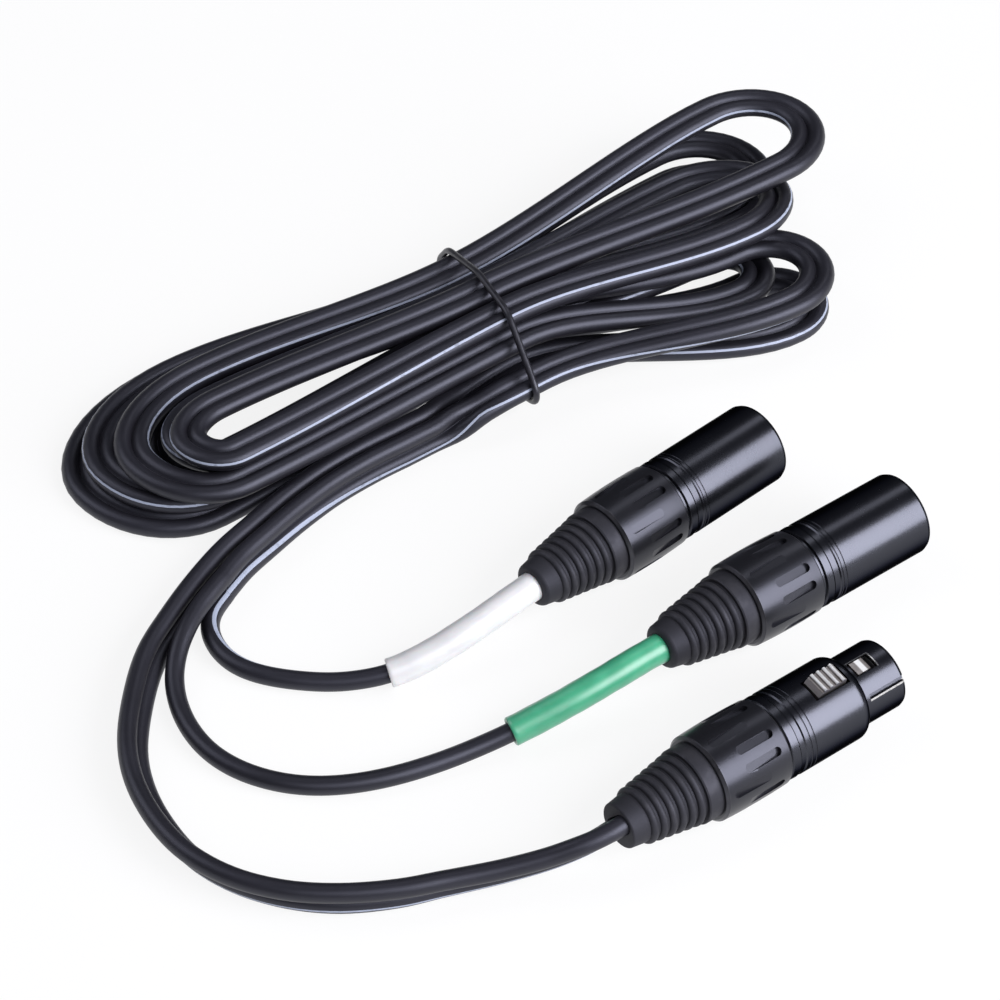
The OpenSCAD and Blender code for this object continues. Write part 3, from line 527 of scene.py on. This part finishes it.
# ---- Marker sleeves ----
# A length of heat-shrink tube on each single lead, tucked into the boot: white on plug 1, green on plug 2.
# The free end is cut square, and shows the tube's wall.
def tube_along(name, line, profile, sides):
    """A turned shape bent along a line. Its profile is a list of (distance along the line, radius)."""
    far = [0.0]
    for a, b in zip(line, line[1:]):
        far.append(far[-1] + (b - a).length)
    points, faces = [], []
    for along, radius in profile:
        i = max(1, min(len(far) - 1, next((k for k, d in enumerate(far) if d > along), len(far) - 1)))
        t = (along - far[i - 1]) / (far[i] - far[i - 1])
        ahead = (line[i] - line[i - 1]).normalized()
        before = (line[i - 1] - line[i - 2]).normalized() if i > 1 else ahead
        after = (line[i + 1] - line[i]).normalized() if i + 1 < len(line) else ahead
        ahead = (before.lerp(ahead, 0.5 + t) if t < 0.5 else ahead.lerp(after, t - 0.5)).normalized()
        level = Vector((-ahead.y, ahead.x, 0)).normalized()
        up = ahead.cross(level)
        middle = line[i - 1].lerp(line[i], t)
        for j in range(sides):
            angle = 2 * math.pi * j / sides
            points.append(middle + radius * (level * math.cos(angle) + up * math.sin(angle)))
    for i in range(len(profile) - 1):
        for j in range(sides):
            a, b = i * sides + j, i * sides + (j + 1) % sides
            faces.append((a, b, b + sides, a + sides))
    last, ring = (len(profile) - 1) * sides, range(sides)
    faces += [(last + j, last + (j + 1) % sides, (j + 1) % sides, j) for j in ring]
    mesh = bpy.data.meshes.new(name)
    mesh.from_pydata(points, [], faces)
    mesh.polygons.foreach_set("use_smooth", [True] * len(faces))
    made = bpy.data.objects.new(name, mesh)
    bpy.context.scene.collection.objects.link(made)
    return made


def sleeve_finish(name, deep, pale, stain):
    sleeve = Finish(
        name,
        Subsurface_Weight=0.12,
        Subsurface_Scale=0.002,
        Coat_Weight=1.0,
        Coat_Roughness=0.45,
        Coat_IOR=1.6,
    )
    cloud = sleeve.noise(170.0, 3.0)
    streaks = sleeve.noise(1500.0, 2.0)
    marks = sleeve.noise(480.0, 4.0, roughness=0.7).band(0.66, 0.8)
    colour = sleeve.blend(cloud.band(0.35, 0.65), deep, pale)
    sleeve.set(
        Base_Color=sleeve.blend(0.35 * marks, colour, stain),
        Roughness=0.27 + 0.08 * cloud + 0.06 * streaks,
    )
    sleeve.bump(0.7 * cloud + 0.3 * streaks, 0.00006, 0.4)
    return sleeve.material


sleeve_r, sleeve_bore = 3.25 * MM, 2.5 * MM
sleeve_length, tucked_in, cut_edge = 39 * MM, 1.5 * MM, 0.25 * MM
# the shrunk tube is not quite even
waviness, sleeve_rings = 0.04 * MM, 40
# the material slot, then the deep and the pale tone of the tube and the colour of its stains
sleeve_colours = {
    "plug_1": ("sleeve_white", (0.64, 0.635, 0.635, 1), (0.69, 0.685, 0.68, 1), (0.55, 0.54, 0.52, 1)),
    "plug_2": ("sleeve_green", (0.030, 0.32, 0.165, 1), (0.045, 0.38, 0.20, 1), (0.01, 0.2, 0.1, 1)),
}
for name, plug in plugs.items():
    tip = (Vector(plug["tip"]) + table_shift) * MM
    # from the tucked end back towards the split
    back = [tip + tucked_in * plug["ahead"]]
    back += [p for p in reversed(plug["line"]) if (p - tip).dot(plug["ahead"]) < 0]
    steps = [sleeve_length * k / sleeve_rings for k in range(1, sleeve_rings)]
    profile = [(0.0, sleeve_r - cut_edge), (cut_edge, sleeve_r)]
    profile += [(s, sleeve_r + waviness * math.sin(s * 900) * math.sin(s * 310)) for s in steps]
    profile += [(sleeve_length - cut_edge, sleeve_r), (sleeve_length, sleeve_r - cut_edge)]
    profile += [(sleeve_length, sleeve_bore + cut_edge), (sleeve_length - cut_edge, sleeve_bore)]
    profile += [(s, sleeve_bore) for s in reversed(steps)] + [(0.0, sleeve_bore)]
    material_slot, deep, pale, stain = sleeve_colours[name]
    sleeve = tube_along("sleeve_of_" + name, back, profile, 64)
    sleeve.data.materials.append(sleeve_finish(material_slot, deep, pale, stain))
    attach(sleeve, "cable")
    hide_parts(name + "_sleeve")
    plug["sleeve"] = sleeve

plug_parts = ("boot", "nut", "shell", "collet", "insulator", "contacts")
for name, plug in plugs.items():
    line = plug["line"]
    sum((b - a).length for a, b in zip(line, line[1:]))
    [plug["sleeve"]] + [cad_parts[f"{name}_{part}"] for part in plug_parts]


# ---- Tie ----
# A round elastic cord, moulded in one ring of black rubber, is stretched round the hank's waist.
# It pulls the loops together, and lies at a slant, further along the hank on the far side.
tie_r, tie_gap = 0.8, 0.37
tie_slant, tie_middle_y, tie_width = 11.0, 41.4, 52
tie_rings, tie_step = 150, 8
# (pass that it goes round, which of the pair's cores, first and last angle round that core)
tie_turns = [
    (2, 1, -90, -45), (5, 1, -43, 34), (8, 1, 36, 72), (9, 1, 73, 90), (10, -1, 90, 127),
    (13, -1, 128, 247), (0, -1, 248, 270),
]
tie_rows = []
for i, side, start, end in tie_turns:
    middle = Vector(at_layer(waist_x, *waist[i], 0)[:3]) + Vector((0, side * core_r, 0))
    steps = max(3, round((end - start) / tie_step))
    for k in range(steps + 1):
        angle = math.radians(mix(start, end, k / steps))
        out = core_r + tie_gap + tie_r
        y, z = middle.y + out * math.cos(angle), middle.z + out * math.sin(angle)
        tie_rows.append((waist_x + tie_slant * (y - tie_middle_y) / tie_width, y, z))
# evened out to short steps, so that the bends between the corners are soft
closed = [Vector(p) for p in tie_rows] + [Vector(tie_rows[0])]
girth = sum((b - a).length for a, b in zip(closed, closed[1:]))
tie_points, left = [], 0.0
for a, b in zip(closed, closed[1:]):
    reach = (b - a).length
    while left < reach:
        tie_points.append(a.lerp(b, left / reach))
        left += girth / tie_rings
    left -= reach
tie_points = tie_points[:tie_rings]
for _ in range(4):
    after = tie_points[1:] + tie_points[:1]
    before = tie_points[-1:] + tie_points[:-1]
    tie_points = [0.25 * p + 0.5 * q + 0.25 * r for p, q, r in zip(before, tie_points, after)]


def ring_mesh(name, points, radius, sides):
    """A closed cord of round section through the points."""
    count = len(points)
    middle = sum(points, Vector()) / count
    vertices, faces = [], []
    for i, p in enumerate(points):
        along = (points[(i + 1) % count] - points[i - 1]).normalized()
        out = p - middle
        out = (out - along * out.dot(along)).normalized()
        across = along.cross(out)
        for j in range(sides):
            angle = 2 * math.pi * j / sides
            vertices.append(p + radius * (out * math.cos(angle) + across * math.sin(angle)))
    for i in range(count):
        for j in range(sides):
            a, b = i * sides + j, i * sides + (j + 1) % sides
            c, d = (i + 1) % count * sides + (j + 1) % sides, (i + 1) % count * sides + j
            faces.append((a, b, c, d))
    mesh = bpy.data.meshes.new(name)
    mesh.from_pydata([(v + table_shift) * MM for v in vertices], [], faces)
    mesh.polygons.foreach_set("use_smooth", [True] * len(faces))
    made = bpy.data.objects.new(name, mesh)
    bpy.context.scene.collection.objects.link(made)
    return made


elastic = Finish("tie_elastic", Specular_IOR_Level=0.62, Specular_Tint=(0.86, 0.87, 1.0, 1))
stretch = elastic.noise(900.0, 3.0)
elastic.set(
    Base_Color=elastic.blend(stretch.band(0.3, 0.7), (0.008, 0.008, 0.010, 1), (0.017, 0.016, 0.020, 1)),
    Roughness=0.30 + 0.14 * stretch,
)
elastic.bump(stretch, 0.00004, 0.4)
tie = ring_mesh("tie_ring", tie_points, tie_r, 20)
tie.data.materials.append(elastic.material)
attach(tie, "cable")
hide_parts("tie")


# ---- Boots ----
# Each boot is moulded rubber with six flex ribs, matte, and pushed into the nut from behind.
# Dust and rubbing lighten the ribs.

# (boot's tip, turn on the table, roll round its own axis)
connectors = {name: (plug["tip"], plug["turn"], 0.0) for name, plug in plugs.items()}
connectors["socket"] = (socket_tip, 0.0, 8.0)


def stations(finish, tip, turn, roll):
    """Where a point is on a connector, in millimetres: how far along from the boot's tip, how far from the
    axis, and how far to the left of the axis and above it, as the connector lies."""
    axes = {
        "Vector": finish.place(),
        "Location": (Vector(tip) + table_shift) * MM,
        "Rotation": (math.radians(roll), 0, math.radians(turn)),
        "Scale": (MM, MM, MM),
    }
    local = finish.add("ShaderNodeMapping", {"vector_type": "TEXTURE"}, axes)
    along = finish.add("ShaderNodeSeparateXYZ", inputs=[local], output="X")
    left, above = along.other("Y"), along.other("Z")
    return along, (left * left + above * above) ** 0.5, left, above


def repaint(node, material):
    """Gives a CAD piece its finish."""
    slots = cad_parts[node].data.materials
    slots.clear()
    slots.append(material)


# the ribs' crests stand on a cone this thick at its tip, which widens so much to the millimetre
crest_tip_r, crest_taper = 5.2, 0.154
for name, lie in connectors.items():
    rubber = Finish(name + "_rubber", Specular_IOR_Level=0.5, Specular_Tint=(0.8, 0.81, 1.0, 1))
    along, radius, _, _ = stations(rubber, *lie)
    mottle, grain = rubber.noise(240.0, 3.0), rubber.noise(3200.0, 2.0)
    crest = (radius - (crest_tip_r + crest_taper * along)).band(-0.1, 0.35)
    rubbed = crest * mottle.band(0.35, 0.7)
    colour = rubber.blend(0.25 + 0.5 * rubbed, (0.006, 0.006, 0.007, 1), (0.030, 0.029, 0.032, 1))
    rubber.set(Base_Color=colour, Roughness=0.60 + 0.10 * grain - 0.10 * rubbed)
    rubber.bump(grain, 0.00003, 0.45)
    repaint(name + "_boot", rubber.material)


# ---- Clamping nuts ----
# Each nut is moulded in glass-filled nylon, with a satin skin and fifteen scooped flutes for grip.
# It is screwed onto the shell's spigot. Its two outer edges are painted lighter: rubbed by hands, and a
# painted highlight where their chamfers catch the light.
for name, lie in connectors.items():
    nylon = Finish(name + "_nylon", Specular_IOR_Level=0.55, Specular_Tint=(0.8, 0.82, 1.0, 1))
    along, radius, _, _ = stations(nylon, *lie)
    mottle, grain = nylon.noise(160.0, 3.0), nylon.noise(2400.0, 2.0)
    # the two outer edges painted lighter: rubbing and a painted highlight
    edge = (along.band(21.7, 21.1) + along.band(37.8, 38.2)) * radius.band(8.9, 9.3)
    rubbed = edge * (0.35 + 0.65 * nylon.noise(300.0, 2.0).band(0.3, 0.7))
    colour = nylon.blend(rubbed, (0.006, 0.006, 0.007, 1), (0.034, 0.033, 0.035, 1))
    nylon.set(Base_Color=colour, Roughness=0.27 + 0.06 * mottle + 0.04 * grain)
    nylon.bump(grain, 0.000012, 0.4)
    repaint(name + "_nut", nylon.material)


# ---- Shells ----
# Die-cast zinc, turned smooth and plated satin black. The plating is worn at the rims that meet other
# connectors. On the socket, the window's edges and the keyway's lip that catch the light are painted as
# bright metal: worn plating and a painted highlight.
plug_length, socket_length = 69.0, 71.0
window_back, window_front, window_half = 61.0, 66.6, 1.9
keyway_back, keyway_half, keyway_turn = 61.5, 0.6, math.radians(50)
for name, lie in connectors.items():
    plating = Finish(name + "_plating", Metallic=1.0, Specular_Tint=(0.05, 0.05, 0.05, 1))
    along, radius, left, above = stations(plating, *lie)
    mottle, grain = plating.noise(130.0, 3.0), plating.noise(1800.0, 2.0)
    end = plug_length if name != "socket" else socket_length
    rim = along.band(end - 0.55, end - 0.1)
    worn = rim * plating.noise(700.0, 3.0).band(0.48, 0.62)
    scuffs = plating.noise(520.0, 6.0, roughness=0.75).band(0.68, 0.78)
    colour = plating.blend(0.8 * worn + 0.12 * scuffs, (0.060, 0.062, 0.074, 1), (0.22, 0.21, 0.20, 1))
    if name == "socket":
        outer = radius.band(7.3, 7.5)
        far_side = left.strip(window_half - 0.1, window_half, window_half + 0.2, window_half + 0.3)
        far_side *= along.strip(window_back - 0.4, window_back, window_front, window_front + 0.3)
        front = along.strip(window_front - 0.1, window_front, window_front + 0.24, window_front + 0.34)
        front *= left.strip(-window_half - 0.2, -window_half, window_half + 0.2, window_half + 0.3)
        # the keyway's lip faces the light: below it is off the keyway's middle, outward away from the axis
        below = -math.cos(keyway_turn) * left - math.sin(keyway_turn) * above
        outward = -math.sin(keyway_turn) * left + math.cos(keyway_turn) * above
        lip = below.strip(keyway_half - 0.05, keyway_half + 0.05, keyway_half + 0.36, keyway_half + 0.5)
        lip *= along.band(keyway_back - 0.2, keyway_back + 0.1) * outward.band(6.0, 6.5)
        patchy = 0.65 + 0.35 * plating.noise(900.0, 2.0).band(0.35, 0.6)
        # painted highlight on worn plating: bright metal on the window's far side and front edge and on the
        # keyway's lip, the edges that catch the light
        wear_and_highlight = outer * (far_side + front + lip) * patchy
        colour = plating.blend(wear_and_highlight.band(0.0, 1.0), colour, (0.62, 0.61, 0.60, 1))
    plating.set(Base_Color=colour, Roughness=0.225 + 0.05 * mottle + 0.03 * grain + 0.1 * scuffs)
    plating.bump(grain, 0.00001, 0.35)
    repaint(name + ("_shell" if name != "socket" else "_housing"), plating.material)


# ---- Insulators and collets ----
# The contact carriers and the collets that grip the cable are moulded nylon, dull black.
# The carriers sit on a step in their shells, and each nut squeezes its collet.
insulating = Finish("insulating_nylon", Specular_IOR_Level=0.45)
mottle, grain = insulating.noise(220.0, 3.0), insulating.noise(2600.0, 2.0)
insulating.set(
    Base_Color=insulating.blend(mottle.band(0.3, 0.7), (0.014, 0.014, 0.015, 1), (0.026, 0.026, 0.027, 1)),
    Roughness=0.48 + 0.12 * grain,
)
insulating.bump(grain, 0.00002, 0.4)
for name in connectors:
    repaint(name + "_insulator", insulating.material)
    repaint(name + "_collet", insulating.material)


# ---- Contacts ----
# Three pins in each plug and five tubes in the socket, pressed into their carriers: turned brass, gold
# plated. The lathe has left faint rings, and mating has rubbed the plating.
gold = Finish("contact_gold", Metallic=1.0)
rubbed, rings = gold.noise(700.0, 3.0), gold.noise(5200.0, 1.0)
gold.set(
    Base_Color=gold.blend(rubbed.band(0.3, 0.75), (0.86, 0.62, 0.22, 1), (0.93, 0.74, 0.38, 1)),
    Roughness=0.17 + 0.14 * rubbed + 0.04 * rings,
)
gold.bump(rings, 0.000006, 0.3)
for name in connectors:
    repaint(name + "_contacts", gold.material)


# ---- Latch ----
# The lever is die-cast and nickel plated, and turns on two trunnions in the socket's carrier.
# Its button has four grip ribs. The crests of the ribs and a band across the catch are painted near-white:
# rubbed metal and a painted highlight. The rest has dulled.
catch_front = 65.6
nickel = Finish("latch_nickel", Metallic=1.0)
tarnish, brushing = nickel.noise(420.0, 3.0), nickel.noise(3800.0, 2.0)
along, _, _, above = stations(nickel, *connectors["socket"])
# the catch's middle band and the ribs' crests at the top of the button: rubbed metal and a painted highlight
wear_and_highlight = along.strip(catch_front - 2.9, catch_front - 2.5, catch_front - 1.6, catch_front - 1.2)
crests = above.band(10.45, 10.75)
polish_and_highlight = wear_and_highlight + crests
dull = nickel.blend(tarnish.band(0.35, 0.75), (0.38, 0.355, 0.35, 1), (0.28, 0.255, 0.245, 1))
nickel.set(
    Base_Color=nickel.blend(polish_and_highlight, dull, (0.98, 0.975, 0.97, 1)),
    Roughness=0.32 + 0.08 * tarnish + 0.04 * brushing - 0.06 * polish_and_highlight,
)
nickel.bump(brushing, 0.000008, 0.35)
repaint("socket_latch", nickel.material)


# ---- Latch spring ----
# A strip of bright spring steel, bent into a foot and an arm. The foot lies in the carrier, and the arm
# pushes the lever up and is flattened when the button is pressed.

# the foot, as far along the socket and above its axis
foot_along, foot_above = 47.0, 3.5
steel = Finish("spring_steel", Metallic=1.0)
grain = steel.noise(2600.0, 2.0)
steel.set(
    Base_Color=steel.blend(grain, (0.42, 0.42, 0.43, 1), (0.55, 0.55, 0.56, 1)),
    Roughness=0.26 + 0.12 * grain,
)
spring_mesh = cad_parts["socket_latch_spring"].data.copy()
welded = bmesh.new()
welded.from_mesh(spring_mesh)
bmesh.ops.remove_doubles(welded, verts=welded.verts, dist=0.001 * MM)
welded.to_mesh(spring_mesh)
welded.free()
spring_mesh.materials.clear()
spring_mesh.materials.append(steel.material)
spring = bpy.data.objects.new("latch_spring", spring_mesh)
bpy.context.scene.collection.objects.link(spring)
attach(spring, "cable")
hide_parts("socket_latch_spring")
tip, _, roll = connectors["socket"]
upright = Vector((0, -math.sin(math.radians(roll)), math.cos(math.radians(roll))))
spring_foot = Vector(tip) + table_shift + Vector((foot_along, 0, 0)) + foot_above * upright
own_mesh(spring)


# ---- Table and light ----
# A white table that stays white in sight and in reflections and takes the cable's shadow. One large panel
# at the right front gives the broad highlight along shells and loops. A strip at the left front, a round
# light behind at the left, a narrow strip overhead and a round light beside the viewer fill in the rest.
white = Finish("table_white")
paper = white.add("ShaderNodeBsdfDiffuse", inputs={"Color": (0.9, 0.9, 0.9, 1)})
glow = white.add("ShaderNodeEmission", inputs={"Color": (1, 1, 1, 1), "Strength": 1.0})
seen = white.add("ShaderNodeLightPath", output="Is Camera Ray")
seen = seen.math("MAXIMUM", seen.other("Is Glossy Ray")).math("MAXIMUM", seen.other("Is Transmission Ray"))
both = white.add("ShaderNodeMixShader", inputs={"Fac": seen * 0.86, 1: paper, 2: glow})
white.join(both, white.group.nodes["Material Output"].inputs["Surface"])
white.group.nodes.remove(white.shader)

table_half = 6.0
corners = [(x * table_half, y * table_half, 0) for x, y in ((-1, -1), (1, -1), (1, 1), (-1, 1))]
table_mesh = bpy.data.meshes.new("table")
table_mesh.from_pydata(corners, [], [(0, 1, 2, 3)])
table_mesh.materials.append(white.material)
table = bpy.data.objects.new("table", table_mesh)
bpy.context.scene.collection.objects.link(table)

world = bpy.data.worlds.new("room")
world.use_nodes = True
bpy.context.scene.world = world
dim = world.node_tree.nodes["Background"]
dim.inputs["Color"].default_value = (0.80, 0.84, 1.0, 1)
dim.inputs["Strength"].default_value = 0.10
room = Nodes(world.node_tree)
backdrop = room.add("ShaderNodeBackground", inputs={"Color": (1, 1, 1, 1), "Strength": 1.0})
eye = room.add("ShaderNodeLightPath", output="Is Camera Ray")
shown = {"Fac": eye, 1: Wire(room, dim.outputs["Background"]), 2: backdrop}
surface = world.node_tree.nodes["World Output"].inputs["Surface"]
room.join(room.add("ShaderNodeMixShader", inputs=shown), surface)


def softbox(name, way, far, size, power, tint, long_way=None):
    """A soft light aimed at the table's middle: round, or a panel with its first side along long_way."""
    lamp = bpy.data.lights.new(name, "AREA")
    lamp.energy, lamp.color = power, tint
    holder = bpy.data.objects.new(name, lamp)
    way = Vector(way).normalized()
    holder.location = way * far
    if long_way is None:
        lamp.shape, lamp.size = "DISK", size
        holder.rotation_euler = way.to_track_quat("Z", "Y").to_euler()
    else:
        lamp.shape, lamp.size, lamp.size_y = "RECTANGLE", *size
        length = Vector(long_way)
        length = (length - way * length.dot(way)).normalized()
        turned = Matrix((length, way.cross(length), way)).transposed()
        holder.rotation_euler = turned.to_euler()
    bpy.context.scene.collection.objects.link(holder)


cool = (0.95, 0.95, 1.0)
softbox("front", (0.42, -0.765, 0.488), 1.5, (1.2, 0.96), 31.0, cool, (0, -0.537, -0.843))
softbox("front_left", (-0.02, -0.87, 0.49), 1.5, (0.9, 0.42), 7.0, cool, (0, -0.49, -0.87))
softbox("rear_left", (-0.445, 0.58, 0.682), 1.6, 1.2, 7.5, (0.94, 0.94, 1.0))
softbox("overhead", (0.50, 0.25, 0.83), 1.6, (1.5, 0.34), 2.6, (0.97, 0.97, 1.0), (0.77, 0.07, -0.51))
softbox("beside_viewer", (-0.40, -0.62, 0.68), 1.6, 1.0, 5.0, cool)
